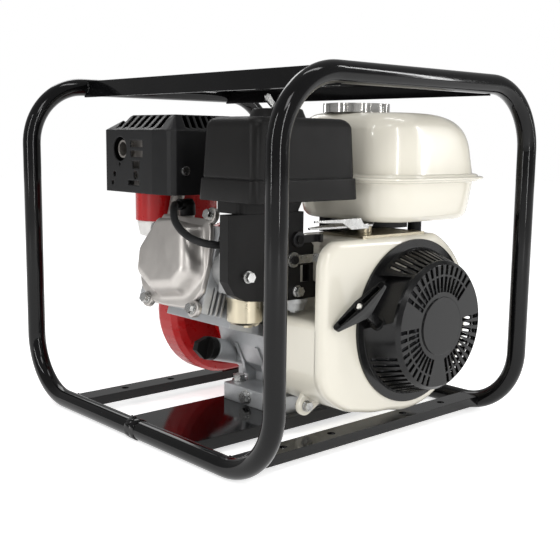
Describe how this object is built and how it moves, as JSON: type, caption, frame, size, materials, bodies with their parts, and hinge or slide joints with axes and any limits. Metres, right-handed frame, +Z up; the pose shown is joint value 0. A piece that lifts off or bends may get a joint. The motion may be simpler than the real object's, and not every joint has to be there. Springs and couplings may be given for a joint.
{
  "type": "portable fire pump",
  "caption": "Portable fire pump: small petrol engine with recoil starter driving a red centrifugal pump, carried in a black bent-tube roll frame.",
  "frame": {"origin": "on the floor under the middle of the roll frame", "axes": "+Z up, -Y towards the recoil starter, +Y towards the suction port, -X towards the valve cover"},
  "size_m": [0.405, 0.474, 0.4],
  "materials": {
    "frame_paint": "gloss black powder coat",
    "rail_paint": "satin black paint",
    "zinc": "bright zinc plate",
    "cast_aluminium": "bare die casting",
    "rocker_aluminium": "bare die casting, satin",
    "steel": "machined",
    "iron": "machined casting",
    "cream_paint": "gloss enamel",
    "black_plastic": "grained moulding",
    "reel_plastic": "plain moulding",
    "rope": "braided cord",
    "cap_metal": "bright plate",
    "foam": "oiled foam and paper",
    "carb_alloy": "cast, dull",
    "gold_zinc": "yellow passivated zinc",
    "rubber": "smooth",
    "fibre": "fibre gasket",
    "plug_ceramic": "glazed insulator on a plated shell",
    "muffler_steel": "heat stained",
    "shield_black": "heat resistant black",
    "pump_red": "gloss red enamel",
    "pale_alloy": "shot blasted",
    "bronze": "cast",
    "brass": "turned",
    "lever_black": "smooth"
  },
  "bodies": {
    "frame_and_engine": {"frame_corner_near": "frame_paint", "frame_corner_left": "frame_paint", "frame_corner_right": "frame_paint", "frame_corner_far": "frame_paint", "top_bar_left": "frame_paint", "top_bar_right": "frame_paint", "front_rail": "rail_paint", "rear_rail": "rail_paint", "engine_plate": "rail_paint", "hold_down_bolts": "zinc", "crankcase": "cast_aluminium", "side_cover": "cast_aluminium", "cylinder_head": "cast_aluminium", "valve_cover": "rocker_aluminium", "valve_cover_bolts": "zinc", "main_bearings": "steel", "fan_shroud": "cream_paint", "recoil_cover": "black_plastic", "shroud_bolts": "zinc", "fuel_tank": "cream_paint", "tank_posts": "rubber", "air_cleaner_base": "black_plastic", "filter_element": "foam", "air_cleaner_cover": "black_plastic", "carburettor": "carb_alloy", "float_bowl": "gold_zinc", "intake_cover": "black_plastic", "intake_nuts": "zinc", "sediment_cup": "carb_alloy", "control_bracket": "gold_zinc", "spark_plug": "plug_ceramic", "plug_cap": "rubber", "ignition_lead": "rubber", "muffler": "muffler_steel", "heat_shield": "shield_black", "shield_screws": "zinc", "drain_plug": "zinc", "pump_adaptor": "pump_red", "pump_volute": "pump_red", "shaft_seal": "rubber", "suction_cover": "pump_red", "pump_bolts": "zinc", "riser_collar": "pale_alloy", "discharge_manifold": "pump_red"},
    "rotor": {"crankshaft": "steel", "flywheel": "iron", "starter_cup": "steel", "impeller": "bronze"},
    "recoil_drum": {"recoil_reel": "reel_plastic"},
    "starter_handle": {"starter_grip": "black_plastic", "starter_rope": "rope"},
    "fuel_cap_seal": {"fuel_cap_gasket": "rubber"},
    "fuel_cap": {"fuel_cap": "cap_metal"},
    "oil_cap_seal": {"oil_gasket": "fibre"},
    "oil_cap": {"oil_filler_cap": "black_plastic"},
    "choke": {"choke_lever": "lever_black"},
    "fuel_valve": {"fuel_lever": "zinc"},
    "throttle": {"throttle_lever": "zinc"},
    "air_cleaner_nut": {"wing_nut": "zinc"},
    "primer": {"priming_plug": "brass"}
  },
  "joints": [
    {"name": "shaft_spin", "type": "hinge", "parent": "frame_and_engine", "child": "rotor", "pos_m": [0.062, 0, 0.128], "axis": [0, 1, 0], "continuous": true},
    {"name": "starter_pull", "type": "slide", "parent": "frame_and_engine", "child": "starter_handle", "axis": [-0.7006, -0.509, 0.5], "range_m": [0, 0.45], "stiffness_N_per_m": 60, "springref_m": -0.2, "deforming": ["starter_rope"]},
    {"name": "drum_turn", "type": "hinge", "parent": "frame_and_engine", "child": "recoil_drum", "pos_m": [0.062, -0.19, 0.128], "axis": [0, 1, 0], "range_deg": [0, 800]},
    {"name": "fuel_cap_lift", "type": "slide", "parent": "frame_and_engine", "child": "fuel_cap_seal", "axis": [0, 0, 1], "range_m": [0, 0.045]},
    {"name": "fuel_cap_turn", "type": "hinge", "parent": "fuel_cap_seal", "child": "fuel_cap", "pos_m": [0.0405, -0.1, 0.36], "axis": [0, 0, 1], "range_deg": [0, 90]},
    {"name": "oil_cap_draw", "type": "slide", "parent": "frame_and_engine", "child": "oil_cap_seal", "axis": [-0.9659, 0, 0.2588], "range_m": [0, 0.04]},
    {"name": "oil_cap_turn", "type": "hinge", "parent": "oil_cap_seal", "child": "oil_cap", "pos_m": [-0.071, 0.018, 0.08], "axis": [-0.9659, 0, 0.2588], "range_deg": [0, 720]},
    {"name": "choke_swing", "type": "hinge", "parent": "frame_and_engine", "child": "choke", "pos_m": [-0.074, -0.13, 0.224], "axis": [0, 1, 0], "range_deg": [-45, 0]},
    {"name": "fuel_valve_swing", "type": "hinge", "parent": "frame_and_engine", "child": "fuel_valve", "pos_m": [-0.081, -0.13, 0.203], "axis": [0, 1, 0], "range_deg": [0, 45]},
    {"name": "throttle_swing", "type": "hinge", "parent": "frame_and_engine", "child": "throttle", "pos_m": [0.028, -0.128, 0.2363], "axis": [0, 0, 1], "range_deg": [0, 18]},
    {"name": "air_cleaner_nut_spin", "type": "hinge", "parent": "frame_and_engine", "child": "air_cleaner_nut", "pos_m": [-0.097, -0.12, 0.355], "axis": [0, 0, 1], "continuous": true},
    {"name": "primer_turn", "type": "hinge", "parent": "frame_and_engine", "child": "primer", "pos_m": [0.062, 0.102, 0.235], "axis": [0, 0, 1], "continuous": true}
  ],
  "couplings": [
    {"joint": "drum_turn", "follows": "starter_pull", "rad_per_m": 30.303}
  ]
}
